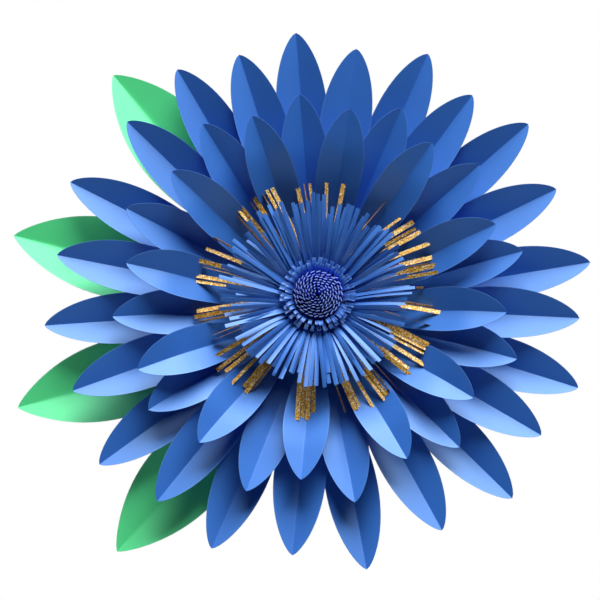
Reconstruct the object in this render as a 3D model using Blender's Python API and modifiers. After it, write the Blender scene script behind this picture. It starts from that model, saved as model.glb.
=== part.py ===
"""Paper flower that hangs flat on a wall: folded card petals round a rolled, fringed centre.

Four rings of twelve petals overlap one another, each petal creased down its middle and rising
towards the viewer from a flat glued tab. Four green leaves stand behind them on one side. The
petals and leaves sit on two card discs, and the centre is four rolled strips of paper, three of
them cut into a fringe whose strips bend outwards.

Every piece is shaped lying down, with X along it and Z towards the viewer, and is then stood up:
the back of the flower is at Y = 0 and its face looks along -Y. Lengths are in metres.
"""

import math
import random
from dataclasses import dataclass

import bmesh
import bpy

# Sheet stock and the clearance between glued faces
CARD = 0.00035
GAP = 0.0003
BACK_BOARD = 0.0012
FRONT_BOARD = 0.0010
BACK_BOARD_RADIUS = 0.110
FRONT_BOARD_RADIUS = 0.072
BOARD_SIDES = 48

# Heights of the glued faces, from the wall towards the viewer
LAYER = CARD + GAP
BACK_SEAT = BACK_BOARD + GAP
FRONT_BOARD_Z = BACK_SEAT + 2 * LAYER
FRONT_SEAT = FRONT_BOARD_Z + FRONT_BOARD + GAP

# Shape shared by all blades: where the width peaks, and how the bend and crease start
PETAL_TAPER = 0.70
LEAF_TAPER = 0.80
BEND_EASE = 0.020
CREASE_RUN = 0.060
RUN_STATIONS = (0.0, 0.15, 0.32, 0.50, 0.67, 0.82, 0.93, 1.0)

# Rolled strips of the centre, each wrapped round the one inside it
CORE_START = 0.0026
CORE_TURNS = 7
CORE_PITCH = 0.0030
CORE_RADIUS = CORE_START + CORE_TURNS * CORE_PITCH
CORE_WALL = 0.0011
CORE_SIDES = 14
CORE_TOP = 0.066
CORE_DOME = 0.006
FRINGE_PAPER = 0.0005
FRINGE_SLIT = 0.0005
WRAP = FRINGE_PAPER + 0.0005
WRAP_PITCH = 0.0016

UPRIGHT = math.radians(90.0)
COLLECTION = "paper_flower"


@dataclass(frozen=True)
class Blade:
    """One cut and creased piece of card, measured from the flower's axis outwards."""

    tab: float
    bend: float
    tip: float
    blank: float
    half_width: float
    tab_half: float
    seat: float
    steep: float
    knee: float
    shallow: float
    crease: float
    taper: float

    def half(self, x):
        """Half width of the card at distance x from the axis."""
        if x <= self.bend:
            return self.tab_half
        share = min(max((self.tip - x) / self.blank, 0.0), 1.0)
        width = self.half_width * math.sin(math.pi * share**self.taper)
        return width if share < 0.5 else max(width, self.tab_half)

    def rise(self, x):
        """Height of the crease's back face at distance x from the axis."""
        first = math.tan(math.radians(self.steep))
        later = math.tan(math.radians(self.shallow))
        return (
            self.seat
            + first * eased(x - self.bend)
            + (later - first) * eased(x - self.knee)
        )

    def pitch(self, x):
        """Height that each half gains per unit of width at distance x."""
        return math.tan(math.radians(self.crease)) * smooth((x - self.bend) / CREASE_RUN)


@dataclass(frozen=True)
class Fringe:
    """A strip of paper cut into tabs along its front edge and rolled into a tube.

    An odd count of tabs over two turns sets the outer turn's tabs behind the inner turn's slits.
    """

    radius: float
    pitch: float
    turns: int
    strips: int
    top: float
    step: float
    path: tuple
    spread: float
    seed: int

    def outside(self):
        """Distance from the axis to the middle of the last turn's paper."""
        return self.radius + self.pitch * self.turns


# Ring by ring, the wall side first
OUTER_PETAL = Blade(
    tab=0.058,
    bend=0.075,
    tip=0.276,
    blank=0.225,
    half_width=0.0260,
    tab_half=0.0060,
    seat=BACK_SEAT,
    steep=10.5,
    knee=0.130,
    shallow=10.5,
    crease=25.0,
    taper=PETAL_TAPER,
)
SECOND_PETAL = Blade(
    tab=OUTER_PETAL.tab,
    bend=OUTER_PETAL.bend,
    tip=0.262,
    blank=0.215,
    half_width=OUTER_PETAL.half_width,
    tab_half=OUTER_PETAL.tab_half,
    seat=BACK_SEAT + LAYER,
    steep=OUTER_PETAL.steep + 9.5,
    knee=OUTER_PETAL.knee,
    shallow=OUTER_PETAL.shallow,
    crease=OUTER_PETAL.crease,
    taper=PETAL_TAPER,
)
THIRD_PETAL = Blade(
    tab=0.056,
    bend=0.070,
    tip=0.208,
    blank=0.172,
    half_width=0.0235,
    tab_half=0.0060,
    seat=FRONT_SEAT,
    steep=SECOND_PETAL.steep + 5.0,
    knee=0.140,
    shallow=18.0,
    crease=25.0,
    taper=PETAL_TAPER,
)
INNER_PETAL = Blade(
    tab=0.044,
    bend=0.058,
    tip=0.190,
    blank=0.160,
    half_width=0.0228,
    tab_half=0.0052,
    seat=FRONT_SEAT + LAYER,
    steep=THIRD_PETAL.steep + 5.5,
    knee=THIRD_PETAL.knee,
    shallow=THIRD_PETAL.shallow + 2.0,
    crease=THIRD_PETAL.crease,
    taper=PETAL_TAPER,
)
LEAF = Blade(
    tab=0.084,
    bend=0.106,
    tip=0.316,
    blank=0.250,
    half_width=0.0405,
    tab_half=0.0100,
    seat=BACK_SEAT,
    steep=1.0,
    knee=0.160,
    shallow=1.0,
    crease=15.0,
    taper=LEAF_TAPER,
)

# Each petal's angle, anticlockwise from the right as seen from the front, and how much further
# out than its ring it is glued
OUTER_PLACES = (
    (94.5, 0.000), (121.0, 0.000), (154.5, 0.000), (186.0, -0.002),
    (218.0, -0.002), (247.5, -0.003), (280.0, 0.001), (313.5, 0.003),
    (340.5, -0.001), (7.5, 0.000), (40.0, 0.003), (66.0, 0.001),
)
SECOND_PLACES = (
    (81.0, -0.003), (107.5, 0.000), (137.0, 0.001), (171.0, 0.002),
    (201.5, -0.001), (232.5, -0.002), (264.5, -0.001), (297.5, 0.003),
    (327.5, 0.000), (355.0, 0.000), (24.5, 0.002), (53.0, -0.002),
)
THIRD_PLACES = (
    (95.0, -0.002), (123.5, 0.001), (155.5, 0.002), (186.5, -0.003),
    (215.0, -0.004), (250.5, 0.002), (280.0, 0.004), (312.0, 0.000),
    (341.5, 0.000), (12.0, 0.001), (39.0, 0.001), (66.0, 0.001),
)
INNER_PLACES = (
    (80.0, 0.000), (110.0, 0.001), (140.0, 0.000), (171.5, 0.002),
    (204.0, 0.004), (232.5, 0.001), (265.0, -0.001), (297.5, -0.001),
    (325.0, -0.003), (353.5, -0.002), (21.0, 0.000), (53.0, 0.000),
)

# The same for each leaf, then how far its crease passes beside the flower's axis
LEAF_PLACES = (
    (129.5, 0.002, 0.009), (166.0, 0.000, 0.006), (195.5, 0.002, 0.022), (228.0, 0.004, 0.020)
)

# Each fringe's path: distance from the axis and height at every fold of a strip
COLLAR = Fringe(
    radius=CORE_RADIUS + CORE_WALL / 2.0 + WRAP,
    pitch=WRAP_PITCH,
    turns=2,
    strips=41,
    top=0.0570,
    step=0.0025,
    path=((0.0295, 0.0605), (0.0355, 0.0575)),
    spread=0.0012,
    seed=3,
)
BLUE_FRINGE = Fringe(
    radius=COLLAR.outside() + WRAP,
    pitch=WRAP_PITCH,
    turns=2,
    strips=79,
    top=0.0470,
    step=0.0028,
    path=((0.0390, 0.0500), (0.0700, 0.0600), (0.0970, 0.0655)),
    spread=0.0060,
    seed=5,
)
GOLD_FRINGE = Fringe(
    radius=BLUE_FRINGE.outside() + WRAP,
    pitch=0.0,
    turns=1,
    strips=40,
    top=0.0340,
    step=0.0,
    path=((0.0450, 0.0400), (0.0820, 0.0450), (0.1200, 0.0505)),
    spread=0.0050,
    seed=11,
)


def eased(run):
    """Return the run past a bend, with the bend itself rounded."""
    if run <= 0.0:
        return 0.0
    if run < BEND_EASE:
        return run * run / (2.0 * BEND_EASE)
    return run - BEND_EASE / 2.0


def smooth(share):
    """Return a smooth step from 0 to 1."""
    share = min(max(share, 0.0), 1.0)
    return share * share * (3.0 - 2.0 * share)


def paper(name, colour, roughness=0.85, metallic=0.0):
    """Make a plain Principled material for one kind of sheet."""
    material = bpy.data.materials.new(name)
    material.use_nodes = True
    shader = material.node_tree.nodes["Principled BSDF"]
    shader.inputs["Base Color"].default_value = (*colour, 1.0)
    shader.inputs["Roughness"].default_value = roughness
    shader.inputs["Metallic"].default_value = metallic
    material.diffuse_color = (*colour, 1.0)
    return material


def stand(mesh_object, angle=0.0, out=0.0, aside=0.0):
    """Turn a piece about the flower's axis, slide it in its own plane and stand it up, face to -Y."""
    turn = math.radians(angle)
    mesh_object.rotation_mode = "ZYX"
    mesh_object.rotation_euler = (UPRIGHT, 0.0, turn)
    mesh_object.location = (
        out * math.cos(turn) - aside * math.sin(turn),
        0.0,
        out * math.sin(turn) + aside * math.cos(turn),
    )


def add_object(name, mesh, material, collection):
    """Link a mesh as a named object with one material."""
    if not mesh.materials:
        mesh.materials.append(material)
    made = bpy.data.objects.new(name, mesh)
    collection.objects.link(made)
    return made


def thicken(mesh_object, thickness, side):
    """Give a sheet its thickness."""
    shell = mesh_object.modifiers.new("thickness", "SOLIDIFY")
    shell.thickness = thickness
    shell.offset = side


def blade_mesh(name, blade):
    """Shape a grid into one creased petal or leaf, its back face down."""
    run = blade.tip - blade.bend
    stations = [blade.tab] + [blade.bend + share * run for share in RUN_STATIONS]
    cells = len(stations) - 1
    mesh_data = bmesh.new()
    bmesh.ops.create_grid(mesh_data, x_segments=cells, y_segments=2, size=0.5)
    for vertex in mesh_data.verts:
        x = stations[round((vertex.co.x + 0.5) * cells)]
        side = round(2.0 * vertex.co.y)
        half = 0.0 if x >= blade.tip else blade.half(x)
        vertex.co = (x, side * half, blade.rise(x) + abs(side) * half * blade.pitch(x))
    bmesh.ops.remove_doubles(mesh_data, verts=mesh_data.verts, dist=GAP / 10.0)
    mesh = bpy.data.meshes.new(name)
    mesh_data.to_mesh(mesh)
    mesh_data.free()
    return mesh


def ring(prefix, blade, places, material, collection):
    """Place one ring of petals that share a shape."""
    mesh = blade_mesh(prefix, blade)
    for number, (angle, out) in enumerate(places, start=1):
        petal = add_object(f"{prefix}_{number:02d}", mesh, material, collection)
        thicken(petal, CARD, 1.0)
        stand(petal, angle, out)


def board(name, radius, thickness, base, material, collection):
    """Add a round card disc."""
    mesh_data = bmesh.new()
    bmesh.ops.create_cone(
        mesh_data, cap_ends=True, segments=BOARD_SIDES, radius1=radius, radius2=radius, depth=thickness
    )
    for vertex in mesh_data.verts:
        vertex.co.z += base + thickness / 2.0
    mesh = bpy.data.meshes.new(name)
    mesh_data.to_mesh(mesh)
    mesh_data.free()
    stand(add_object(name, mesh, material, collection))


def core_roll(name, material, collection):
    """Add the tight roll whose spiral edge shows in the middle."""
    cells = CORE_TURNS * CORE_SIDES
    mesh_data = bmesh.new()
    bmesh.ops.create_grid(mesh_data, x_segments=cells, y_segments=1, size=0.5)
    for vertex in mesh_data.verts:
        turned = (vertex.co.x + 0.5) * CORE_TURNS
        radius = CORE_START + CORE_PITCH * turned
        dome = CORE_DOME * (1.0 - (radius / CORE_RADIUS) ** 2)
        height = CORE_TOP - CORE_DOME + dome if vertex.co.y > 0.0 else FRONT_SEAT
        turn = 2.0 * math.pi * turned
        vertex.co = (radius * math.cos(turn), radius * math.sin(turn), height)
    mesh = bpy.data.meshes.new(name)
    mesh_data.to_mesh(mesh)
    mesh_data.free()
    roll = add_object(name, mesh, material, collection)
    thicken(roll, CORE_WALL, 0.0)
    stand(roll)


def fringe_roll(name, fringe, material, collection):
    """Add a rolled strip whose front edge is cut into tabs that bend outwards."""
    chance = random.Random(fringe.seed)
    closed = fringe.turns == 1 and fringe.pitch == 0.0
    per_turn = fringe.strips / fringe.turns
    slit = FRINGE_SLIT / (2.0 * math.pi * fringe.radius) * per_turn
    mesh_data = bmesh.new()
    low, high, turned = [], [], []
    for strip in range(fringe.strips):
        for share in (slit / 2.0, 1.0 - slit / 2.0):
            turned.append((strip + share) / per_turn)
    for turns in turned:
        radius = fringe.radius + fringe.pitch * turns
        turn = 2.0 * math.pi * turns
        across = (radius * math.cos(turn), radius * math.sin(turn))
        top = fringe.top - fringe.step * turns
        low.append(mesh_data.verts.new((*across, FRONT_SEAT)))
        high.append(mesh_data.verts.new((*across, top)))
    cells = len(turned) if closed else len(turned) - 1
    for cell in range(cells):
        after = (cell + 1) % len(turned)
        mesh_data.faces.new((low[cell], low[after], high[after], high[cell]))
    for strip in range(fringe.strips):
        first, second = high[2 * strip], high[2 * strip + 1]
        half = (second.co - first.co).length / 2.0
        middle = (first.co + second.co) / 2.0
        turn = math.atan2(middle.y, middle.x)
        extra = fringe.spread * chance.uniform(-1.0, 1.0)
        drop = fringe.step * turned[2 * strip]
        for fold, (reach, height) in enumerate(fringe.path, start=1):
            reach = reach + extra * fold / len(fringe.path)
            ends = []
            for side in (-half, half):
                ends.append(
                    mesh_data.verts.new(
                        (
                            reach * math.cos(turn) - side * math.sin(turn),
                            reach * math.sin(turn) + side * math.cos(turn),
                            height - drop,
                        )
                    )
                )
            mesh_data.faces.new((first, second, ends[1], ends[0]))
            first, second = ends
    mesh = bpy.data.meshes.new(name)
    mesh_data.to_mesh(mesh)
    mesh_data.free()
    roll = add_object(name, mesh, material, collection)
    thicken(roll, FRINGE_PAPER, 0.0)
    stand(roll)


def main():
    """Build the flower."""
    for old in list(bpy.data.objects):
        bpy.data.objects.remove(old, do_unlink=True)
    collection = bpy.data.collections.new(COLLECTION)
    bpy.context.scene.collection.children.link(collection)

    petal_card = paper("petal_card", (0.055, 0.165, 0.560))
    leaf_card = paper("leaf_card", (0.170, 0.800, 0.360))
    board_card = paper("board_card", (0.040, 0.110, 0.360))
    fringe_paper = paper("fringe_paper", (0.080, 0.190, 0.640))
    core_paper = paper("core_paper", (0.020, 0.045, 0.250))
    gold_paper = paper("gold_paper", (0.520, 0.290, 0.050), 0.35, 0.8)

    board("backing_disc", BACK_BOARD_RADIUS, BACK_BOARD, 0.0, board_card, collection)
    board(
        "front_disc", FRONT_BOARD_RADIUS, FRONT_BOARD, FRONT_BOARD_Z, board_card, collection
    )
    leaf_mesh = blade_mesh("leaf", LEAF)
    for number, (angle, out, aside) in enumerate(LEAF_PLACES, start=1):
        leaf = add_object(f"leaf_{number}", leaf_mesh, leaf_card, collection)
        thicken(leaf, CARD, 1.0)
        stand(leaf, angle, out, aside)
    ring("outer_petal", OUTER_PETAL, OUTER_PLACES, petal_card, collection)
    ring("second_petal", SECOND_PETAL, SECOND_PLACES, petal_card, collection)
    ring("third_petal", THIRD_PETAL, THIRD_PLACES, petal_card, collection)
    ring("inner_petal", INNER_PETAL, INNER_PLACES, petal_card, collection)
    core_roll("core_roll", core_paper, collection)
    fringe_roll("collar_fringe", COLLAR, core_paper, collection)
    fringe_roll("blue_fringe", BLUE_FRINGE, fringe_paper, collection)
    fringe_roll("gold_fringe", GOLD_FRINGE, gold_paper, collection)


main()
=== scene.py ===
"""Looks of the hanging paper flower: creased card blades round a rolled and fringed centre."""

import logging
import math
import random
from dataclasses import dataclass, replace
from enum import Enum

import bmesh
import bpy
from mathutils import Matrix, Vector


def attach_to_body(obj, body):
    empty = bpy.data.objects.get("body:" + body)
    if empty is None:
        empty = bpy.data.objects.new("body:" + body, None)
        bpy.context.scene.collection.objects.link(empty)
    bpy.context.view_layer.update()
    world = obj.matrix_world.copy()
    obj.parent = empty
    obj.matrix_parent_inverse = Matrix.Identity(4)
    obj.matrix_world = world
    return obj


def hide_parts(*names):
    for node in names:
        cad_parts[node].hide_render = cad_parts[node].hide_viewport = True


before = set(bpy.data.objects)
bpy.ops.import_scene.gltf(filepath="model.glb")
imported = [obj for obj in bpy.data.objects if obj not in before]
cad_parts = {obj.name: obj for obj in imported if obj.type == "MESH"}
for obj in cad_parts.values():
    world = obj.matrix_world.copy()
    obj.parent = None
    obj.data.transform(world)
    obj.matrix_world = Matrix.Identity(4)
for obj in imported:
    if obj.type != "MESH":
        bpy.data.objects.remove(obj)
LOG = logging.getLogger("paper_flower")
BODY = "root"
MM = 0.001
UPRIGHT = Matrix.Rotation(math.pi / 2.0, 4, "X")
WELD = 0.02 * MM
ON_LINE = 0.001 * MM
SMOOTH_ANGLE = math.radians(34.0)

Colour = tuple[float, float, float]
Pair = tuple[float, float]
Triple = tuple[float, float, float]


# Shaders


class Value:
    """A socket's output, usable as a number in shader maths."""

    def __init__(self, nodes: "Nodes", socket: bpy.types.NodeSocket) -> None:
        """Keep the socket and the nodes it belongs to."""
        self.nodes = nodes
        self.socket = socket

    def maths(self, operation: str, first: object, second: object = 0.0) -> "Value":
        """Add one Math node.

        Args:
            operation: the node's operation.
            first: the first value or number.
            second: the second value or number.

        Returns:
            The node's result.
        """
        node = self.nodes.node("ShaderNodeMath", {"operation": operation}, {0: first, 1: second})
        return Value(self.nodes, node.outputs[0])

    def __add__(self, other: object) -> "Value":
        """Add."""
        return self.maths("ADD", self, other)

    __radd__ = __add__

    def __sub__(self, other: object) -> "Value":
        """Subtract."""
        return self.maths("SUBTRACT", self, other)

    def __rsub__(self, other: object) -> "Value":
        """Subtract from a number."""
        return self.maths("SUBTRACT", other, self)

    def __mul__(self, other: object) -> "Value":
        """Multiply."""
        return self.maths("MULTIPLY", self, other)

    __rmul__ = __mul__

    def __abs__(self) -> "Value":
        """Drop the sign."""
        return self.maths("ABSOLUTE", self)

    def larger(self, other: "Value") -> "Value":
        """Take the larger of two."""
        return self.maths("MAXIMUM", self, other)

    def above(self, start: float, end: float) -> "Value":
        """Rise smoothly from 0 to 1 between two limits.

        Args:
            start: where the rise starts.
            end: where it ends.

        Returns:
            The mask.
        """
        node = self.nodes.node(
            "ShaderNodeMapRange",
            {"interpolation_type": "SMOOTHSTEP"},
            {"Value": self, "From Min": start, "From Max": end},
        )
        return Value(self.nodes, node.outputs["Result"])


class Nodes:
    """The node tree of a material or world."""

    def __init__(self, owner: bpy.types.ID) -> None:
        """Open the owner's nodes."""
        owner.use_nodes = True
        self.tree = owner.node_tree

    def node(self, kind: str, settings: dict[str, object], sockets: dict[object, object]) -> bpy.types.Node:
        """Add any node.

        Args:
            kind: the node's type.
            settings: its properties, or a ramp's stops.
            sockets: values or links, by socket name, identifier or number.

        Returns:
            The node.
        """
        node = self.tree.nodes.new(kind)
        for name, setting in settings.items():
            if name == "stops":
                self.set_stops(node, setting)
            else:
                setattr(node, name, setting)
        for key, value in sockets.items():
            self.feed(self.find(node, key), value)
        return node

    @staticmethod
    def find(node: bpy.types.Node, key: object) -> bpy.types.NodeSocket:
        """Find an input by its number, identifier or name.

        Args:
            node: the node.
            key: what names the input.

        Returns:
            The input socket.
        """
        if isinstance(key, int):
            return node.inputs[key]
        for socket in node.inputs:
            if socket.identifier == key:
                return socket
        return node.inputs[key]

    def feed(self, socket: bpy.types.NodeSocket, value: object) -> None:
        """Link a value to a socket, or set the socket to a constant.

        Args:
            socket: the input.
            value: a Value, a number or a colour.
        """
        if isinstance(value, Value):
            self.tree.links.new(value.socket, socket)
        elif isinstance(value, tuple) and len(value) == 3 and socket.type == "RGBA":
            socket.default_value = (*value, 1.0)
        else:
            socket.default_value = value

    @staticmethod
    def set_stops(node: bpy.types.Node, stops: tuple[tuple[float, Colour], ...]) -> None:
        """Set a colour ramp's stops.

        Args:
            node: the ramp.
            stops: positions and colours, in order.
        """
        elements = node.color_ramp.elements
        while len(elements) < len(stops):
            elements.new(1.0)
        for element, (position, colour) in zip(elements, stops):
            element.position = position
            element.color = (*colour, 1.0)


class Shader(Nodes):
    """A material whose Principled surface is fed by nodes."""

    def __init__(self, name: str) -> None:
        """Make the material."""
        self.material = bpy.data.materials.new(name)
        super().__init__(self.material)
        self.surface = self.tree.nodes["Principled BSDF"]

    def place(self) -> Value:
        """Give the object coordinates."""
        return Value(self, self.node("ShaderNodeTexCoord", {}, {}).outputs["Object"])

    def sheet_map(self) -> tuple[Value, Value]:
        """Give the two coordinates of the piece's own map, along it and across it."""
        uv = self.node("ShaderNodeTexCoord", {}, {}).outputs["UV"]
        parts = self.node("ShaderNodeSeparateXYZ", {}, {0: Value(self, uv)})
        return Value(self, parts.outputs["X"]), Value(self, parts.outputs["Y"])

    def noise(self, scale: float, detail: float = 2.0) -> Value:
        """Give a noise over the object.

        Args:
            scale: features per metre.
            detail: octaves of finer noise.

        Returns:
            A value about 0.5.
        """
        node = self.node(
            "ShaderNodeTexNoise", {}, {"Vector": self.place(), "Scale": scale, "Detail": detail}
        )
        return Value(self, node.outputs[0])

    def mixed(self, factor: object, first: object, second: object) -> Value:
        """Mix two colours.

        Args:
            factor: how much of the second.
            first: a colour.
            second: a colour.

        Returns:
            The mixed colour.
        """
        node = self.node(
            "ShaderNodeMix",
            {"data_type": "RGBA"},
            {"Factor_Float": factor, "A_Color": first, "B_Color": second},
        )
        return Value(self, node.outputs[2])

    def bump(self, height: Value, strength: float, distance: float) -> None:
        """Raise the surface by a height.

        Args:
            height: the height, 0 to 1.
            strength: share of the effect.
            distance: metres for a height of 1.
        """
        node = self.node(
            "ShaderNodeBump", {}, {"Height": height, "Strength": strength, "Distance": distance}
        )
        self.feed(self.surface.inputs["Normal"], Value(self, node.outputs["Normal"]))

    def set(self, **values: object) -> None:
        """Set inputs of the surface, with spaces in their names written as underscores.

        Args:
            values: what each input gets.
        """
        for name, value in values.items():
            self.feed(self.surface.inputs[name.replace("_", " ")], value)


@dataclass(frozen=True)
class CardFinish:
    """Coloured card with a faint tooth, a soft sheen and a paler rim where it was cut."""

    name: str
    colour: Colour
    fleck: Colour
    rim: Colour
    rim_width: float = 0.03
    roughness: float = 0.45
    refraction: float = 1.80
    sheen: Colour = (0.66, 0.90, 1.0)
    tooth: float = 0.00003
    tooth_strength: float = 0.5
    grain_scale: float = 900.0
    grain_detail: float = 3.0
    grain_span: Pair = (0.35, 0.75)
    grain_share: float = 0.35
    cloud_scale: float = 38.0
    cloud_detail: float = 1.0
    cloud_share: float = 0.25
    rim_share: float = 0.55
    rim_core: float = 0.3
    dulling: float = 0.10

    def material(self) -> bpy.types.Material:
        """Make the material.

        Returns:
            The material.
        """
        shader = Shader(self.name)
        grain = shader.noise(self.grain_scale, self.grain_detail)
        cloud = shader.noise(self.cloud_scale, self.cloud_detail)
        flecks = grain.above(*self.grain_span) * self.grain_share + cloud * self.cloud_share
        sheet = shader.mixed(flecks, self.colour, self.fleck)
        if self.rim_width > 0.0:
            _, across = shader.sheet_map()
            rim = abs(across * 2.0 - 1.0).above(1.0 - self.rim_width, 1.0 - self.rim_width * self.rim_core)
            sheet = shader.mixed(rim * self.rim_share, sheet, self.rim)
        shader.set(Base_Color=sheet, Roughness=self.roughness + self.dulling * grain)
        shader.set(IOR=self.refraction, Specular_Tint=self.sheen)
        shader.bump(grain, self.tooth_strength, self.tooth)
        return shader.material


@dataclass(frozen=True)
class EdgeFinish:
    """The pale cut edge of a sheet."""

    name: str
    colour: Colour
    shade: float = 0.75
    grain_scale: float = 2500.0
    grain_share: float = 0.5
    roughness: float = 0.75

    def material(self) -> bpy.types.Material:
        """Make the material.

        Returns:
            The material.
        """
        shader = Shader(self.name)
        grain = shader.noise(self.grain_scale) * self.grain_share
        dark = tuple(self.shade * part for part in self.colour)
        shader.set(Base_Color=shader.mixed(grain, self.colour, dark), Roughness=self.roughness)
        return shader.material


@dataclass(frozen=True)
class GlitterFinish:
    """Paper coated with gold glitter: each grain has its own colour and lean, and the palest grains are
    painted glints.
    """

    name: str
    grains: float = 1050.0
    metal: float = 0.15
    smoothest: float = 0.25
    roughness_span: float = 0.35
    lean: float = 0.6
    relief: float = 0.0003
    colours: tuple[tuple[float, Colour], ...] = (
        (0.0, (0.200, 0.070, 0.008)),
        (0.20, (0.520, 0.220, 0.014)),
        (0.52, (0.800, 0.430, 0.035)),
        (0.82, (0.960, 0.660, 0.120)),
        # The palest stop is a painted glint, not a grain colour.
        (0.92, (1.0, 0.960, 0.760)),
    )

    def material(self) -> bpy.types.Material:
        """Make the material.

        Returns:
            The material.
        """
        shader = Shader(self.name)
        cells = shader.node("ShaderNodeTexVoronoi", {}, {"Vector": shader.place(), "Scale": self.grains})
        parts = shader.node("ShaderNodeSeparateColor", {}, {0: Value(shader, cells.outputs["Color"])})
        ramp = shader.node(
            "ShaderNodeValToRGB", {"stops": self.colours}, {"Fac": Value(shader, parts.outputs["Red"])}
        )
        shader.set(
            Base_Color=Value(shader, ramp.outputs["Color"]),
            Metallic=self.metal,
            Roughness=self.smoothest + self.roughness_span * Value(shader, parts.outputs["Green"]),
        )
        shader.bump(Value(shader, parts.outputs["Blue"]), self.lean, self.relief)
        return shader.material


class Finish(Enum):
    """The finishes of the flower's sheets."""

    PETAL = CardFinish("petal_blue_card", (0.030, 0.172, 0.645), (0.038, 0.188, 0.675), (0.12, 0.30, 0.74))
    LEAF = CardFinish("leaf_green_card", (0.110, 0.970, 0.340), (0.135, 0.985, 0.380), (0.36, 0.99, 0.58))
    FRINGE = CardFinish(
        "fringe_blue_paper", (0.036, 0.172, 0.630), (0.046, 0.188, 0.660), (0.11, 0.27, 0.74), rim_width=0.14
    )
    COLLAR = CardFinish(
        "collar_blue_paper", (0.045, 0.170, 0.620), (0.056, 0.190, 0.660), (0.16, 0.30, 0.72), rim_width=0.16
    )
    # Core paper: the same blue card as the petals, coloured a darker navy as painted shade for the dark
    # inside the tight roll.
    CORE = CardFinish(
        "core_navy_paper_painted_shade", (0.022, 0.088, 0.780), (0.028, 0.102, 0.820), (0.05, 0.13, 0.86), rim_width=0.10
    )
    BOARD = CardFinish(
        "board_blue_card", (0.028, 0.110, 0.400), (0.036, 0.125, 0.430), (0.15, 0.24, 0.50), rim_width=0.0
    )
    PETAL_EDGE = EdgeFinish("petal_cut_edge", (0.10, 0.27, 0.72))
    LEAF_EDGE = EdgeFinish("leaf_cut_edge", (0.42, 0.90, 0.58))
    FRINGE_EDGE = EdgeFinish("fringe_cut_edge", (0.14, 0.31, 0.80))
    COLLAR_EDGE = EdgeFinish("collar_cut_edge", (0.22, 0.38, 0.90))
    CORE_EDGE = EdgeFinish("core_cut_edge", (0.30, 0.45, 1.0), shade=0.50)
    GLITTER = GlitterFinish("gold_glitter_paper")
    GLITTER_EDGE = EdgeFinish("gold_paper_edge", (0.34, 0.15, 0.07))


class Palette:
    """Makes each finish's material once."""

    def __init__(self) -> None:
        """Start with no materials."""
        self.made: dict[Finish, bpy.types.Material] = {}

    def get(self, finish: Finish) -> bpy.types.Material:
        """Give a finish's material.

        Args:
            finish: which finish.

        Returns:
            The material.
        """
        if finish not in self.made:
            self.made[finish] = finish.value.material()
        return self.made[finish]

    def coat(self, made: bpy.types.Object, face: Finish, rim: Finish) -> bpy.types.Object:
        """Give a bare sheet its finishes, the cut edge's one second.

        Args:
            made: the sheet, whose rim faces are in the second slot.
            face: the sheet's finish.
            rim: its cut edge's finish.

        Returns:
            The sheet.
        """
        made.data.materials[0] = self.get(face)
        made.data.materials[1] = self.get(rim)
        return made


# Modelling steps


def alone(made: bpy.types.Object) -> None:
    """Select one object and nothing else."""
    bpy.ops.object.select_all(action="DESELECT")
    made.select_set(True)
    bpy.context.view_layer.objects.active = made


class Bench:
    """A flat sheet open in edit mode, whose rows and columns are picked by place and moved."""

    def __init__(self, name: str, length: float, width: float, cells: tuple[int, int]) -> None:
        """Add the sheet from x = 0 onwards, centred on y.

        Args:
            name: the object's name.
            length: its size along x.
            width: its size along y.
            cells: divisions along and across.
        """
        bpy.ops.object.select_all(action="DESELECT")
        bpy.ops.mesh.primitive_grid_add(x_subdivisions=cells[0], y_subdivisions=cells[1], size=1.0)
        self.made = bpy.context.object
        self.made.name = name
        bpy.ops.object.mode_set(mode="EDIT")
        bpy.context.tool_settings.mesh_select_mode = (True, False, False)
        bpy.ops.mesh.select_all(action="SELECT")
        bpy.ops.transform.resize(value=(length, width, 1.0))
        bpy.ops.transform.translate(value=(length / 2.0, 0.0, 0.0))
        places = [vertex.co.copy() for vertex in self.mesh().verts]
        self.rows = self.lines([place.x for place in places])
        self.columns = self.lines([place.y for place in places])

    def mesh(self) -> bmesh.types.BMesh:
        """Give the sheet's mesh as it is being edited."""
        return bmesh.from_edit_mesh(self.made.data)

    @staticmethod
    def lines(places: list[float]) -> list[tuple[float, set[int]]]:
        """Group the sheet's points into lines.

        Args:
            places: each point's coordinate.

        Returns:
            The coordinate and the points of each line, in order.
        """
        found: dict[float, set[int]] = {}
        for number, place in enumerate(places):
            found.setdefault(round(place, 6), set()).add(number)
        return sorted(found.items())

    def pick(self, points: set[int]) -> None:
        """Select some of the sheet's points and nothing else.

        Args:
            points: their numbers.
        """
        bpy.ops.mesh.select_all(action="DESELECT")
        mesh = self.mesh()
        for vertex in mesh.verts:
            vertex.select_set(vertex.index in points)
        mesh.select_flush_mode()
        bmesh.update_edit_mesh(self.made.data)

    def move(self, step: Vector) -> None:
        """Move what is picked."""
        bpy.ops.transform.translate(value=step)

    def widen(self, factor: float, centre: Vector) -> None:
        """Stretch what is picked across the sheet."""
        bpy.ops.transform.resize(value=(1.0, factor, 1.0), center_override=centre)

    def turn(self, angle: float, centre: Vector) -> None:
        """Turn what is picked about the sheet's length, its left side upwards."""
        bpy.ops.transform.rotate(value=-angle, orient_axis="X", center_override=centre)

    def close(self, thickness: float, side: float) -> bpy.types.Object:
        """Merge doubled points and give the sheet its thickness.

        Args:
            thickness: metres.
            side: 1 for all of it above the sheet, 0 for half on each side.

        Returns:
            The solid sheet.
        """
        bpy.ops.mesh.select_all(action="SELECT")
        bpy.ops.mesh.remove_doubles(threshold=WELD)
        bpy.ops.object.mode_set(mode="OBJECT")
        thicken(self.made, thickness, side)
        return self.made


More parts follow.
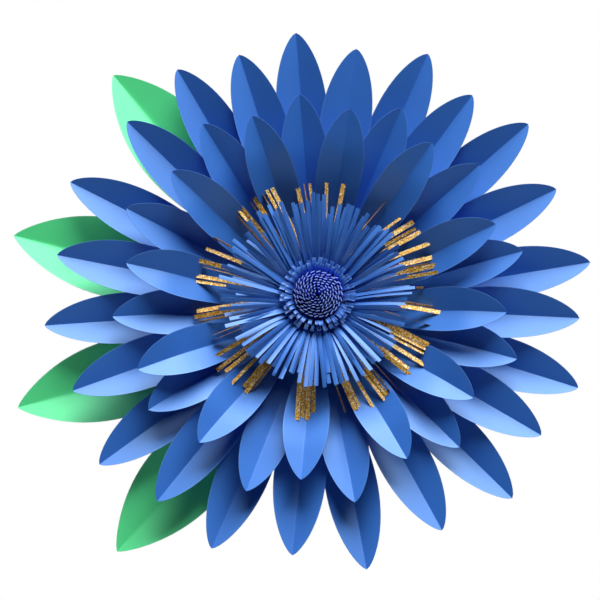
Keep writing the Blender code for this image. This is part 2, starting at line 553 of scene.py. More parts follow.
def thicken(made: bpy.types.Object, thickness: float, side: float) -> None:
    """Give a sheet its thickness, with its cut edge in a second material slot.

    Args:
        made: the sheet.
        thickness: metres.
        side: 1 for all of it above the sheet, 0 for half on each side.
    """
    alone(made)
    for _ in ("face", "rim"):
        made.data.materials.append(None)
    shell = made.modifiers.new("thickness", "SOLIDIFY")
    shell.thickness = thickness
    shell.offset = side
    shell.material_offset_rim = 1
    bpy.ops.object.modifier_apply(modifier=shell.name)
    bpy.ops.object.shade_smooth_by_angle(angle=SMOOTH_ANGLE)


def attach(made: bpy.types.Object, node: str) -> None:
    """Tie a piece to the flower, in place of its CAD node.

    Args:
        made: the piece.
        node: the node that it stands for.
    """
    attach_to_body(made, BODY)
    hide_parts(node)


def copied(pattern: bpy.types.Object, name: str, place: Matrix) -> bpy.types.Object:
    """Copy a finished pattern to its place on the flower, with a mesh of its own.

    Args:
        pattern: what is copied, lying flat with the viewer above it.
        name: the copy's name.
        place: its place, still lying flat.

    Returns:
        The copy, hanging upright.
    """
    alone(pattern)
    bpy.ops.object.duplicate(linked=False)
    made = bpy.context.object
    made.name = name
    made.data.transform(UPRIGHT @ place)
    return made


def joined(name: str, parts: list[bpy.types.Object]) -> bpy.types.Object:
    """Join parts into one piece.

    Args:
        name: the piece's name.
        parts: what is joined.

    Returns:
        The piece.
    """
    bpy.ops.object.select_all(action="DESELECT")
    for part in parts:
        part.select_set(True)
    bpy.context.view_layer.objects.active = parts[0]
    bpy.ops.object.join()
    parts[0].name = name
    return parts[0]


def turned(angle: float) -> Matrix:
    """Turn about the flower's axis by an angle in degrees."""
    return Matrix.Rotation(math.radians(angle), 4, "Z")


def smooth(share: float) -> float:
    """Step smoothly from 0 to 1."""
    share = min(max(share, 0.0), 1.0)
    return share * share * (3.0 - 2.0 * share)


# Petals and leaves

CARD = 0.35 * MM
GAP = 0.30 * MM
LAYER = CARD + GAP
BACK_BOARD = 1.20 * MM
FRONT_BOARD = 1.00 * MM
BACK_SEAT = BACK_BOARD + GAP
FRONT_SEAT = BACK_SEAT + 2.0 * LAYER + FRONT_BOARD + GAP
BEND_EASE = 20.0 * MM
CREASE_RUN = 60.0 * MM


def eased(run: float) -> float:
    """Count the run past a bend whose start is rounded."""
    if run <= 0.0:
        return 0.0
    return run * run / (2.0 * BEND_EASE) if run < BEND_EASE else run - BEND_EASE / 2.0


@dataclass(frozen=True)
class Blade:
    """One cut and creased piece of card: distances from the flower's axis in metres, slopes in degrees."""

    tab: float
    bend: float
    tip: float
    blank: float
    half_width: float
    tab_half: float
    seat: float
    steep: float
    knee: float
    shallow: float
    crease: float
    taper: float
    softness: int = 1
    cells: tuple[int, int] = (30, 14)
    end_crowd: float = 1.35
    crease_crowd: float = 1.55

    def half(self, x: float) -> float:
        """Find the half width.

        Args:
            x: distance from the axis.

        Returns:
            The half width there.
        """
        if x <= self.bend:
            return self.tab_half
        share = min(max((self.tip - x) / self.blank, 0.0), 1.0)
        width = self.half_width * math.sin(math.pi * share**self.taper)
        return width if share < 0.5 else max(width, self.tab_half)

    def rise(self, x: float) -> float:
        """Give the height of the crease's back at distance x."""
        first = math.tan(math.radians(self.steep))
        later = math.tan(math.radians(self.shallow))
        return self.seat + first * eased(x - self.bend) + (later - first) * eased(x - self.knee)

    def fold(self, x: float) -> float:
        """Give the angle to which each half is folded up at distance x."""
        return math.atan(math.tan(math.radians(self.crease)) * smooth((x - self.bend) / CREASE_RUN))

    def model(self) -> bpy.types.Object:
        """Cut, bend and fold the card.

        Returns:
            The blade along x, with the viewer above it.
        """
        length = self.tip - self.tab
        bench = Bench("blade_pattern", length, 2.0 * self.half_width, self.cells)
        for place, column in bench.columns:
            share = abs(place) / self.half_width
            if ON_LINE < abs(place) < self.half_width - ON_LINE:
                bench.pick(column)
                bench.widen(share ** (self.crease_crowd - 1.0), Vector())
        left = set().union(*(column for place, column in bench.columns if place > 0.0))
        right = set().union(*(column for place, column in bench.columns if place < 0.0))
        for place, row in bench.rows:
            x = self.tab + length * (1.0 - max(1.0 - place / length, 0.0) ** self.end_crowd)
            fold = self.fold(x)
            centre = Vector((x, 0.0, self.rise(x)))
            bench.pick(row)
            bench.move(centre - Vector((place, 0.0, 0.0)))
            bench.widen(self.half(x) / math.cos(fold) / self.half_width, centre)
            for side, half in ((1.0, left), (-1.0, right)):
                bench.pick(row & half)
                bench.turn(side * fold, centre)
        crease = next(column for place, column in bench.columns if abs(place) < ON_LINE)
        ends = bench.rows[0][1] | bench.rows[-1][1]
        bench.pick(crease - ends)
        for _ in range(self.softness):
            bpy.ops.mesh.vertices_smooth(factor=0.5)
        return bench.close(CARD, 1.0)

    def place(self, angle: float, out: float, aside: float, twist: float) -> Matrix:
        """Give the place of one blade.

        Args:
            angle: the angle it points to, in degrees.
            out: millimetres that it is shifted outwards.
            aside: millimetres that it is shifted to its left.
            twist: degrees that it leans about its crease.

        Returns:
            The place.
        """
        hinge = Matrix.Translation((self.bend, 0.0, self.seat))
        slope = math.radians(self.steep)
        lean = Matrix.Rotation(math.radians(twist), 4, Vector((math.cos(slope), 0.0, math.sin(slope))))
        shift = Matrix.Translation((out * MM, aside * MM, 0.0))
        return turned(angle) @ shift @ hinge @ lean @ hinge.inverted()


@dataclass(frozen=True)
class BladeRing:
    """Blades of one shape, modelled once and copied round the flower."""

    prefix: str
    blade: Blade
    places: tuple[tuple[float, ...], ...]
    face: Finish
    rim: Finish
    slot: str
    seed: int
    digits: int = 2
    lean: float = 1.3

    def build(self, palette: Palette) -> None:
        """Build the ring in place of its CAD nodes.

        Args:
            palette: the materials.
        """
        chance = random.Random(self.seed)
        pattern = palette.coat(self.blade.model(), self.face, self.rim)
        for number, place in enumerate(self.places, start=1):
            angle, out, aside = (*place, 0.0)[:3]
            node = f"{self.prefix}_{number:0{self.digits}d}"
            twist = chance.uniform(-self.lean, self.lean)
            made = copied(pattern, f"{node}_card", self.blade.place(angle, out, aside, twist))
            attach(made, node)
        LOG.info("%s: %d blades, %d faces each", self.prefix, len(self.places), len(pattern.data.polygons))
        bpy.data.objects.remove(pattern)


OUTER = Blade(
    tab=58 * MM,
    bend=75 * MM,
    tip=276 * MM,
    blank=225 * MM,
    half_width=26 * MM,
    tab_half=6 * MM,
    seat=BACK_SEAT,
    steep=10.5,
    knee=130 * MM,
    shallow=10.5,
    crease=25.0,
    taper=0.70,
)
SECOND = replace(OUTER, tip=262 * MM, blank=215 * MM, seat=BACK_SEAT + LAYER, steep=20.0)
THIRD = replace(
    OUTER, tab=56 * MM, bend=70 * MM, tip=208 * MM, blank=172 * MM, half_width=23.5 * MM,
    seat=FRONT_SEAT, steep=25.0, knee=140 * MM, shallow=18.0,
)
INNER = replace(
    THIRD, tab=44 * MM, bend=58 * MM, tip=190 * MM, blank=160 * MM, half_width=22.8 * MM,
    tab_half=5.2 * MM, seat=FRONT_SEAT + LAYER, steep=30.5, shallow=20.0,
)
LEAF = replace(
    OUTER, tab=84 * MM, bend=106 * MM, tip=316 * MM, blank=250 * MM, half_width=40.5 * MM,
    tab_half=10 * MM, steep=1.0, knee=160 * MM, shallow=1.0, crease=15.0, taper=0.80, softness=3,
)

# Angle in degrees and shift outwards in millimetres of each petal; each leaf's shift aside comes last
OUTER_PLACES = (
    (94.5, 0), (121, 0), (154.5, 0), (186, -2), (218, -2), (247.5, -3),
    (280, 1), (313.5, 3), (340.5, -1), (7.5, 0), (40, 3), (66, 1),
)
SECOND_PLACES = (
    (81, -3), (107.5, 0), (137, 1), (171, 2), (201.5, -1), (232.5, -2),
    (264.5, -1), (297.5, 3), (327.5, 0), (355, 0), (24.5, 2), (53, -2),
)
THIRD_PLACES = (
    (95, -2), (123.5, 1), (155.5, 2), (186.5, -3), (215, -4), (250.5, 2),
    (280, 4), (312, 0), (341.5, 0), (12, 1), (39, 1), (66, 1),
)
INNER_PLACES = (
    (80, 0), (110, 1), (140, 0), (171.5, 2), (204, 4), (232.5, 1),
    (265, -1), (297.5, -1), (325, -3), (353.5, -2), (21, 0), (53, 0),
)
LEAF_PLACES = ((129.5, 2, 9), (166.0, 0, 6), (195.5, 2, 22), (228.0, 4, 20))


# The rolled centre

ROLL_FOOT = 5.0
BAND_SIDES = 56
CURVE_END = 1e-6


def curve(points: tuple[Pair, ...], share: float) -> Pair:
    """Follow a smooth curve through points.

    Args:
        points: distance from the axis and height of each.
        share: how far along, 0 to 1.

    Returns:
        Distance from the axis and height.
    """
    spans = len(points) - 1
    place = min(share * spans, spans - CURVE_END)
    step = int(place)
    t = place - step
    before, start = points[max(step - 1, 0)], points[step]
    end, after = points[step + 1], points[min(step + 2, spans)]
    found = []
    for p, q, r, s in zip(before, start, end, after):
        bent = 2 * q + (r - p) * t + (2 * p - 5 * q + 4 * r - s) * t * t + (3 * q - p - 3 * r + s) * t**3
        found.append(0.5 * bent)
    return found[0], found[1]


@dataclass(frozen=True)
class Strip:
    """One cut strip: its bends, in millimetres from the axis and up, and its twist at root and tip."""

    bends: tuple[Pair, ...]
    width: float
    thickness: float = 0.35
    twist: Pair = (0.0, 0.0)
    cup: float = 0.0
    cells: tuple[int, int] = (13, 2)

    def model(self) -> bpy.types.Object:
        """Bend the strip out of a flat one.

        Returns:
            The strip, which points along x.
        """
        bench = Bench("strip_pattern", 1.0, self.width * MM, self.cells)
        middle = next(column for place, column in bench.columns if abs(place) < ON_LINE)
        for share, row in bench.rows:
            reach, height = curve(self.bends, share)
            centre = Vector((reach * MM, 0.0, height * MM))
            bench.pick(row)
            bench.move(centre - Vector((share, 0.0, 0.0)))
            bench.turn(math.radians(self.twist[0] + (self.twist[1] - self.twist[0]) * share), centre)
            bench.pick(row & middle)
            bench.move(Vector((0.0, 0.0, self.cup * share * MM)))
        return bench.close(self.thickness * MM, 0.0)

    def placed(self, root: float, tip: float, reach: float, width: float, lift: float) -> Matrix:
        """Give the place of a copy whose root and tip point to different angles.

        Args:
            root: the angle of its root, in degrees.
            tip: the angle of its tip.
            reach: the tip's distance from the axis in millimetres.
            width: the copy's width in millimetres.
            lift: millimetres that its tip is raised.

        Returns:
            The place.
        """
        foot = self.bends[0][0]
        span = self.bends[-1][0] - foot
        off = math.radians(tip - root)
        ahead, beside = reach * math.cos(off) - foot, reach * math.sin(off)
        run = math.hypot(ahead, beside)
        hinge = Matrix.Translation((foot * MM, 0.0, self.bends[2][1] * MM))
        stretch = Matrix.Diagonal((run / span, width / self.width, 1.0, 1.0))
        tilt = Matrix.Rotation(-math.atan2(lift, run), 4, "Y")
        swing = Matrix.Rotation(math.atan2(beside, ahead), 4, "Z")
        return turned(root) @ hinge @ swing @ tilt @ stretch @ hinge.inverted()


def shared_roots(tips: list[float]) -> list[float]:
    """Space strips' roots evenly, each as near to its tip's angle as their order allows.

    Args:
        tips: the tips' angles in degrees, rising.

    Returns:
        The roots' angles.
    """
    step = 360.0 / len(tips)
    start = sum(tip - number * step for number, tip in enumerate(tips)) / len(tips)
    return [start + number * step for number in range(len(tips))]


def band(radius: float, high: float, thickness: float) -> bpy.types.Object:
    """Model one turn of a rolled strip's uncut part.

    Args:
        radius: its radius in millimetres.
        high: its upper height.
        thickness: its thickness.

    Returns:
        The turn, hanging upright.
    """
    bpy.ops.object.select_all(action="DESELECT")
    bpy.ops.mesh.primitive_cylinder_add(
        vertices=BAND_SIDES, radius=radius * MM, depth=(high - ROLL_FOOT) * MM, end_fill_type="NOTHING",
        location=(0.0, 0.0, (ROLL_FOOT + high) / 2.0 * MM),
    )
    made = bpy.context.object
    bpy.ops.object.transform_apply(location=True, rotation=True, scale=True)
    thicken(made, thickness * MM, 0.0)
    made.data.transform(UPRIGHT)
    return made


class Workshop:
    """Collects the copies and bands of one rolled piece and joins them."""

    def __init__(self, name: str, palette: Palette, face: Finish, rim: Finish) -> None:
        """Start a piece of one kind of paper.

        Args:
            name: the piece's name.
            palette: the materials.
            face: the paper's finish.
            rim: its cut edge's finish.
        """
        self.name = name
        self.palette = palette
        self.face = face
        self.rim = rim
        self.parts: list[bpy.types.Object] = []
        self.patterns: list[bpy.types.Object] = []

    def pattern(self, strip: Strip) -> bpy.types.Object:
        """Model a strip to copy from."""
        self.patterns.append(self.palette.coat(strip.model(), self.face, self.rim))
        return self.patterns[-1]

    def copy(self, pattern: bpy.types.Object, place: Matrix) -> None:
        """Add a copy of a pattern."""
        self.parts.append(copied(pattern, f"{self.name}_{len(self.parts)}", place))

    def turn(self, radius: float, high: float, thickness: float) -> None:
        """Add one turn of the uncut part of a roll."""
        self.parts.append(self.palette.coat(band(radius, high, thickness), self.face, self.rim))

    def finish(self, node: str, slot: str) -> None:
        """Join the parts into the piece that stands for a CAD node.

        Args:
            node: the node.
            slot: the record's material slot; not used.
        """
        made = joined(self.name, self.parts)
        attach(made, node)
        for pattern in self.patterns:
            bpy.data.objects.remove(pattern)
        LOG.info("%s: %d faces", made.name, len(made.data.polygons))


# Angle in degrees and reach in millimetres of each long blue strip's tip
BLUE_TIPS = (
    (2.4, 96.6), (10.8, 91), (16.5, 91.3), (21.7, 92), (26, 90), (30.4, 94), (38.4, 95), (42.2, 95.2),
    (43.2, 91.3), (46.8, 91.3), (57.5, 95), (64.5, 94.7), (68.2, 94.4), (70.9, 94.9), (75.7, 92.4),
    (80, 88), (86.1, 99.7), (86.9, 93), (89.7, 100), (92.5, 101.6), (96, 94), (100.3, 92), (105.1, 94.2),
    (111.8, 99.6), (114.8, 94.2), (117.4, 92.8), (118.6, 101.4), (123.9, 95), (126, 101.6), (127, 94),
    (134, 100), (139.4, 92.9), (147.7, 100), (152.2, 96.6), (155.1, 91.7), (164.2, 99.2), (171.3, 99.6),
    (176, 90.7), (179.4, 98.5), (184.5, 96), (189.9, 99), (197, 91), (200.8, 97.5), (210.6, 93.8),
    (216, 92.6), (221.4, 93), (227.6, 90), (231.6, 92.5), (236, 88), (242.4, 92.8), (247.1, 93.9),
    (251.8, 86.5), (258.5, 93), (262.9, 96.7), (265.5, 95), (274.1, 95.7), (277, 92.2), (281.2, 95.6),
    (284.6, 94.2), (293.8, 98.4), (298.2, 96), (303.8, 95.4), (308, 91), (311.4, 92.9), (315, 92),
    (321.5, 92.7), (326.5, 92.7), (338.8, 92), (343, 91), (347.8, 91), (352, 88), (355.5, 89.5),
    (359.5, 93.5),
)

# Angle in degrees, reach and seen width in millimetres of each gold strip's tip
GOLD_TIPS = (
    (5.4, 106, 2.0), (11.3, 123, 3.5), (15, 123, 5), (17.2, 118, 2), (19.5, 122, 5), (25.6, 125, 4.5),
    (33, 123, 5.5), (35.6, 121, 3), (38.8, 123.5, 5.5), (44, 116, 3), (55, 119.6, 2.2), (77.1, 119, 4.5),
    (85.4, 118.4, 3.5), (93.7, 117, 3), (96.6, 117, 2.5), (100, 113.8, 4.5), (112.1, 121, 4.5),
    (115, 121, 3.5), (117.4, 119, 1.5), (121.9, 120, 4.5), (124.6, 118, 2.5), (129.7, 119.6, 3),
    (131.6, 118, 4), (134, 115, 1.5), (150, 120.5, 2.5), (155.8, 122, 4), (163, 124, 4.5), (165.2, 119, 2),
    (169.7, 122.5, 4.2), (172.2, 122.7, 3.5), (186.6, 121, 4.2), (189.3, 124, 4.2), (192, 120, 1.2),
    (200.2, 110, 1.5), (202.8, 111, 1.2), (210.6, 118, 4), (216.4, 124, 4), (219.5, 118, 4),
    (226, 123.4, 3.5), (231.3, 116, 4.4), (233.6, 119.7, 4.4), (235.6, 113, 2), (260.8, 127.6, 5),
    (263, 124, 4.4), (265.4, 125, 5), (268, 118, 4.2), (283.3, 119, 1.5), (288.2, 123, 5), (290.4, 120, 3),
    (296.2, 126, 3.5), (302.6, 124.8, 4.8), (304.4, 122, 4.4), (306.5, 120.7, 1.2), (310.5, 122, 1.3),
    (319.1, 122, 4), (321.3, 116, 3.5), (326.7, 127, 4.4), (331.4, 121, 4.4), (333.5, 121, 4.4),
    (335.5, 122.6, 4.4), (338, 112, 2.2), (345.5, 116, 2.5), (352.6, 124.5, 4.5), (355.2, 115, 2.5),
)


@dataclass(frozen=True)
class BlueFringe:
    """The long blue strips, in turns that lie one behind the other, in millimetres and degrees.

    A root point is out from its turn and up, a path point is out from the axis, up and a share of
    the curl, and each kind of strip has its curl and its twist at root and tip.
    """

    first_turn: float = 30.4
    turn_step: float = 1.0
    turn_drop: float = 1.5
    front_turns: int = 3
    back_turns: int = 2
    hidden: int = 80
    width: float = 4.3
    paper: float = 0.35
    cup: float = 0.3
    root: tuple[Pair, ...] = ((0.0, 36.5), (1.8, 43.0))
    path: tuple[Triple, ...] = ((41.5, 48.2, 0.0), (56.0, 54.6, 1.0), (76.0, 61.0, 1.0), (95.0, 65.4, 0.0))
    kinds: tuple[tuple[float, Pair], ...] = (
        (0.0, (34.0, 6.0)), (1.8, (-40.0, -12.0)), (-1.4, (48.0, 20.0)), (0.9, (-30.0, -26.0)),
        (2.6, (18.0, 32.0)),
    )
    widths: Pair = (0.84, 1.06)
    front_lifts: Pair = (-1.5, 2.2)
    back_lifts: Pair = (-3.0, 0.5)
    scatter: Pair = (-0.3, 0.3)
    hidden_reach: Pair = (80.0, 94.0)
    bottom: float = 28.0
    uncut: float = 34.0
    seed: int = 9

    def strip(self, turn: int, curl: float, twist: Pair) -> Strip:
        """Give the strip of one turn.

        Args:
            turn: which turn, counted from the axis.
            curl: millimetres that the strip bulges towards the viewer.
            twist: degrees that it leans at its root and at its tip.

        Returns:
            The strip.
        """
        foot = self.first_turn + self.turn_step * turn
        drop = self.turn_drop * turn
        rising = [(foot + out, up - drop) for out, up in self.root]
        leaning = [(out, up - drop + share * curl) for out, up, share in self.path]
        return Strip(((foot, self.bottom), *rising, *leaning), self.width, self.paper, twist, self.cup)

    def build(self, palette: Palette) -> None:
        """Build the fringe in place of its CAD node.

        Args:
            palette: the materials.
        """
        chance = random.Random(self.seed)
        shop = Workshop("blue_long_strips", palette, Finish.FRINGE, Finish.FRINGE_EDGE)
        every = range(self.front_turns + self.back_turns)
        turns = [
            [(self.strip(turn, *kind), shop.pattern(self.strip(turn, *kind))) for kind in self.kinds]
            for turn in every
        ]
        step = 360.0 / self.hidden
        behind = [
            (step * (number + chance.uniform(*self.scatter)), chance.uniform(*self.hidden_reach))
            for number in range(self.hidden)
        ]
        for tips, first, count, lifts in (
            (sorted(BLUE_TIPS), 0, self.front_turns, self.front_lifts),
            (sorted(behind), self.front_turns, self.back_turns, self.back_lifts),
        ):
            for number, (root, (tip, reach)) in enumerate(zip(shared_roots([tip[0] for tip in tips]), tips)):
                strip, pattern = chance.choice(turns[first + number % count])
                width = self.width * chance.uniform(*self.widths)
                shop.copy(pattern, strip.placed(root, tip, reach, width, chance.uniform(*lifts)))
        for turn in every:
            further = self.turn_step * turn
            shop.turn(self.first_turn + further, self.uncut - further, self.paper)
        shop.finish("blue_fringe", "fringe_paper")


@dataclass(frozen=True)
class GoldFringe:
    """The gold glitter strips, which rest on the innermost petals, in millimetres and degrees.

    A root point is out from the foot and up, and a path point is out from the axis and up.
    """

    foot: float = 35.4
    width: float = 4.4
    paper: float = 0.40
    root: tuple[Pair, ...] = ((0.0, 16.0), (0.0, 24.0), (1.4, 30.0))
    path: tuple[Pair, ...] = ((48.0, 34.5), (66.0, 38.0), (92.0, 41.0), (120.0, 42.0))
    flat_twists: tuple[Pair, ...] = ((0.0, 14.0), (0.0, -18.0))
    edgewise_twists: tuple[Pair, ...] = ((30.0, 74.0), (-30.0, -80.0))
    flat_from: float = 3.0
    edgewise_widths: Pair = (0.6, 1.0)
    lowest: float = 33.0
    rest_inset: float = 6.0
    clearance: float = 3.0
    looseness: Pair = (0.0, 2.0)
    uncut: float = 22.0
    seed: int = 8

    def strip(self, twist: Pair) -> Strip:
        """Give the strip.

        Args:
            twist: degrees that it leans at its root and at its tip.

        Returns:
            The strip.
        """
        rising = [(self.foot + out, up) for out, up in self.root]
        return Strip((*rising, *self.path), self.width, self.paper, twist)

    def petal_height(self, angle: float, reach: float) -> float:
        """Find how high the innermost petals stand under a point.

        Args:
            angle: the point's angle in degrees.
            reach: its distance from the axis in millimetres.

        Returns:
            The height in millimetres.
        """
        found = self.lowest
        for place, out in INNER_PLACES:
            off = math.radians(angle - place)
            x, y = reach * MM * math.cos(off) - out * MM, reach * MM * math.sin(off)
            if x > INNER.bend and abs(y) < INNER.half(x):
                found = max(found, (INNER.rise(x) + abs(y) * math.tan(INNER.fold(x))) / MM)
        return found

    def build(self, palette: Palette) -> None:
        """Build the fringe in place of its CAD node.

        Args:
            palette: the materials.
        """
        chance = random.Random(self.seed)
        shop = Workshop("gold_glitter_strips", palette, Finish.GLITTER, Finish.GLITTER_EDGE)
        kinds = {
            flat: [(strip, shop.pattern(strip)) for strip in map(self.strip, twists)]
            for flat, twists in ((True, self.flat_twists), (False, self.edgewise_twists))
        }
        tips = sorted(GOLD_TIPS)
        roots = shared_roots([tip[0] for tip in tips])
        for root, (tip, reach, seen) in zip(roots, tips):
            flat = seen >= self.flat_from
            strip, pattern = chance.choice(kinds[flat])
            width = seen if flat else self.width * chance.uniform(*self.edgewise_widths)
            height = self.petal_height(tip, reach - self.rest_inset) + self.clearance
            lift = height + chance.uniform(*self.looseness) - strip.bends[-1][1]
            shop.copy(pattern, strip.placed(root, tip, reach, width, lift))
        shop.turn(self.foot, self.uncut, self.paper)
        shop.finish("gold_fringe", "gold_paper")


@dataclass(frozen=True)
class Collar:
    """Rows of short tabs that flare outwards round the core, in millimetres and degrees.

    A row has its radius, top, reach and count of tabs. A rising point is out from the row and up
    from its top, and a flaring point is out from the reach.
    """

    rows: tuple[tuple[float, float, float, int], ...] = ((25.4, 56.0, 32.4, 31), (28.6, 51.4, 37.4, 35))
    row_shift: float = 0.4
    width: float = 3.9
    paper: float = 0.8
    twist: Pair = (0.0, 10.0)
    cup: float = -0.7
    cells: tuple[int, int] = (9, 2)
    bottom: float = 36.0
    rising: tuple[Pair, ...] = ((0.0, -9.0), (0.8, -4.5), (2.4, -2.0))
    flaring: tuple[Pair, ...] = ((-2.0, -0.3), (0.0, 0.0))
    scatter: Pair = (-1.6, 1.6)
    sweeps: Pair = (-2.5, 2.5)
    reaches: Pair = (-1.2, 0.9)
    widths: Pair = (0.82, 1.08)
    lifts: Pair = (-1.4, 1.2)
    uncut: float = 42.0
    uncut_paper: float = 0.55
    seed: int = 10

    def build(self, palette: Palette) -> None:
        """Build the collar in place of its CAD node.

        Args:
            palette: the materials.
        """
        chance = random.Random(self.seed)
        shop = Workshop("collar_flared_tabs", palette, Finish.COLLAR, Finish.COLLAR_EDGE)
        for number, (radius, top, reach, count) in enumerate(self.rows):
            rising = [(radius + out, top + up) for out, up in self.rising]
            flaring = [(reach + out, top + up) for out, up in self.flaring]
            bends = ((radius, self.bottom), *rising, *flaring)
            strip = Strip(bends, self.width, self.paper, self.twist, self.cup, self.cells)
            pattern = shop.pattern(strip)
            for tab in range(count):
                angle = 360.0 * (tab + self.row_shift * number) / count + chance.uniform(*self.scatter)
                place = strip.placed(
                    angle, angle + chance.uniform(*self.sweeps), reach + chance.uniform(*self.reaches),
                    self.width * chance.uniform(*self.widths), chance.uniform(*self.lifts),
                )
                shop.copy(pattern, place)
            shop.turn(radius, self.uncut, self.uncut_paper)
        shop.finish("collar_fringe", "core_paper")


@dataclass(frozen=True)
class CoreRoll:
    """The tight roll in the middle, whose cut strips show their ends along a spiral.

    In millimetres and degrees. A bowing point is out from the strip's foot and up from its top.
    """

    start: float = 1.3
    pitch: float = 2.75
    turns: float = 8.1
    narrow: float = 1.3
    widening: float = 0.13
    widths: Pair = (0.85, 1.12)
    slit: float = 1.15
    paper: float = 0.80
    cells: tuple[int, int] = (4, 2)
    foot: float = 36.0
    top: float = 57.0
    bowing: tuple[Pair, ...] = ((0.0, -8.0), (0.2, -4.0), (0.9, 0.0))
    dome: float = 3.5
    heights: Pair = (-1.6, 1.0)
    skews: Pair = (-2.0, 40.0)
    bands: tuple[float, ...] = (4.0, 9.0, 14.0, 19.0)
    rim_inset: float = 0.6
    uncut: float = 44.0
    seed: int = 21

    def build(self, palette: Palette) -> None:
        """Build the roll in place of its CAD node.

        Args:
            palette: the materials.
        """
        chance = random.Random(self.seed)
        # The roll's faces take the core paper, whose darker navy is painted shade for the inside of the
        # roll.
        shop = Workshop("core_rolled_strips", palette, Finish.CORE, Finish.CORE_EDGE)
        bends = ((0.0, self.foot), *((out, self.top + up) for out, up in self.bowing))
        outer = self.start + self.pitch * self.turns
        widest = self.narrow + self.widening * outer
        pattern = shop.pattern(Strip(bends, widest, self.paper, cells=self.cells))
        turn = 0.0
        while turn < self.turns:
            radius = self.start + self.pitch * turn
            width = (self.narrow + self.widening * radius) * chance.uniform(*self.widths)
            span = width / (2.0 * math.pi * radius)
            height = self.dome * (1.0 - (radius / outer) ** 2) + chance.uniform(*self.heights)
            shape = Matrix.Diagonal((1.0, width / widest, 1.0, 1.0))
            out = Matrix.Translation((radius * MM, 0.0, height * MM))
            skew = Matrix.Rotation(math.radians(chance.uniform(*self.skews)), 4, "Z")
            shop.copy(pattern, turned(360.0 * (turn + span / 2.0)) @ out @ skew @ shape)
            turn += span + self.slit / (2.0 * math.pi * radius)
        for radius in (*self.bands, outer - self.rim_inset):
            shop.turn(radius, self.uncut, self.paper)
        shop.finish("core_roll", "core_paper")


class Boards:
    """The two card discs, which keep their CAD shape."""

    nodes = ("backing_disc", "front_disc")

    def build(self, palette: Palette) -> None:
        """Dress the discs.

        Args:
            palette: the materials.
        """
        for name in self.nodes:
            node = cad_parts[name]
            node.data.materials.clear()
            node.data.materials.append(palette.get(Finish.BOARD))
            LOG.info("%s dressed", name)


# Floor, light and camera


@dataclass(frozen=True)
class Backdrop:
    """The world: white behind the flower, and a dim room that fills the shadows faintly."""

    white: Colour = (1.0, 1.0, 1.0)
    room: Colour = (0.90, 0.95, 1.0)
    fill: float = 0.03
    edge: float = 0.3

    def build(self) -> None:
        """Make the world, white to the camera and to mirrored rays that go on behind the flower."""
        world = bpy.data.worlds.new("white_backdrop")
        bpy.context.scene.world = world
        nodes = Nodes(world)
        room = nodes.node("ShaderNodeBackground", {}, {"Color": self.room, "Strength": self.fill})
        white = nodes.node("ShaderNodeBackground", {}, {"Color": self.white})
        path = nodes.node("ShaderNodeLightPath", {}, {}).outputs
        seen, glossy, through = (
            Value(nodes, path[kind]) for kind in ("Is Camera Ray", "Is Glossy Ray", "Is Transmission Ray")
        )
        way = Value(nodes, nodes.node("ShaderNodeTexCoord", {}, {}).outputs["Generated"])
        parts = nodes.node("ShaderNodeSeparateXYZ", {}, {0: way})
        behind = Value(nodes, parts.outputs["Y"]).above(0.0, self.edge)
        shown = seen.larger(glossy.larger(through) * behind)
        first, second = (Value(nodes, light.outputs[0]) for light in (room, white))
        mix = nodes.node("ShaderNodeMixShader", {}, {0: shown, 1: first, 2: second})
        nodes.feed(nodes.tree.nodes["World Output"].inputs["Surface"], Value(nodes, mix.outputs[0]))


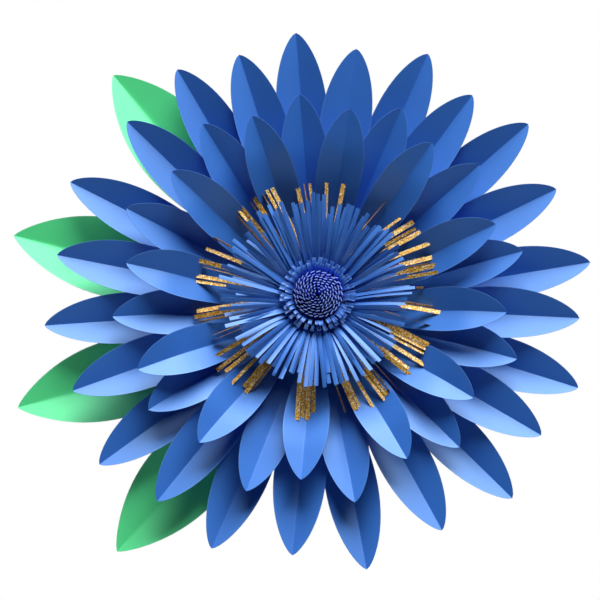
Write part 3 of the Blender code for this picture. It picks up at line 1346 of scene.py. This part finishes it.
@dataclass(frozen=True)
class Studio:
    """A pale floor, the backdrop, one large soft lamp above the flower, and the camera."""

    aim: Triple = (-0.01742, -0.037, -0.0026)
    distance: float = 3.0
    below: float = 11.64
    frame_width: float = 0.6
    lamp_around: float = 80.0
    lamp_out: float = 27.0
    lamp_distance: float = 9.0
    lamp_size: float = 8.4
    lamp_watts: float = 1800.0
    floor_z: float = -2.8
    floor_size: float = 4.0
    floor_tones: tuple[Colour, Colour] = ((0.86, 0.86, 0.86), (0.90, 0.90, 0.90))
    floor_clouds: float = 3.0
    floor_roughness: float = 0.9
    sensor: float = 36.0

    def build(self) -> None:
        """Set up the studio."""
        Backdrop().build()
        self.lamp()
        self.floor()
        self.camera()
        bpy.context.scene.view_settings.view_transform = "Standard"

    def lamp(self) -> None:
        """Hang the soft lamp above and in front of the flower."""
        around, out = math.radians(self.lamp_around), math.radians(self.lamp_out)
        flat = Vector((math.cos(around) * math.cos(out), math.sin(around) * math.cos(out), math.sin(out)))
        way = UPRIGHT.to_3x3() @ flat
        data = bpy.data.lights.new("soft_lamp", "AREA")
        data.shape = "DISK"
        data.size = self.lamp_size
        data.energy = self.lamp_watts
        lamp = bpy.data.objects.new("soft_lamp", data)
        bpy.context.scene.collection.objects.link(lamp)
        lamp.location = way * self.lamp_distance
        lamp.rotation_euler = way.to_track_quat("Z", "Y").to_euler()

    def floor(self) -> None:
        """Lay the pale floor below the flower."""
        bpy.ops.object.select_all(action="DESELECT")
        bpy.ops.mesh.primitive_plane_add(size=self.floor_size, location=(0.0, 0.0, self.floor_z))
        floor = bpy.context.object
        floor.name = "floor"
        shader = Shader("pale_floor")
        pale = shader.mixed(shader.noise(self.floor_clouds), *self.floor_tones)
        shader.set(Base_Color=pale, Roughness=self.floor_roughness)
        floor.data.materials.append(shader.material)

    def camera(self) -> None:
        """Place the camera a little below the flower's axis, looking slightly up."""
        down = math.radians(self.below)
        data = bpy.data.cameras.new("camera")
        data.sensor_width = self.sensor
        data.lens = data.sensor_width * self.distance / self.frame_width
        camera = bpy.data.objects.new("camera", data)
        bpy.context.scene.collection.objects.link(camera)
        back = Vector((0.0, -math.cos(down), -math.sin(down)))
        camera.location = Vector(self.aim) + back * self.distance
        camera.rotation_euler = back.to_track_quat("Z", "Y").to_euler()
        bpy.context.scene.camera = camera


def main() -> None:
    """Build the flower's looks and the studio."""
    logging.basicConfig(level=logging.INFO, format="%(message)s")
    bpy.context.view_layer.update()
    palette = Palette()
    Boards().build(palette)
    petal = (Finish.PETAL, Finish.PETAL_EDGE, "petal_card")
    BladeRing("leaf", LEAF, LEAF_PLACES, Finish.LEAF, Finish.LEAF_EDGE, "leaf_card", 5, 1).build(palette)
    BladeRing("outer_petal", OUTER, OUTER_PLACES, *petal, 1).build(palette)
    BladeRing("second_petal", SECOND, SECOND_PLACES, *petal, 2).build(palette)
    BladeRing("third_petal", THIRD, THIRD_PLACES, *petal, 3).build(palette)
    BladeRing("inner_petal", INNER, INNER_PLACES, *petal, 4, lean=0.3).build(palette)
    GoldFringe().build(palette)
    BlueFringe().build(palette)
    Collar().build(palette)
    CoreRoll().build(palette)
    Studio().build()


if __name__ == "__main__":
    main()
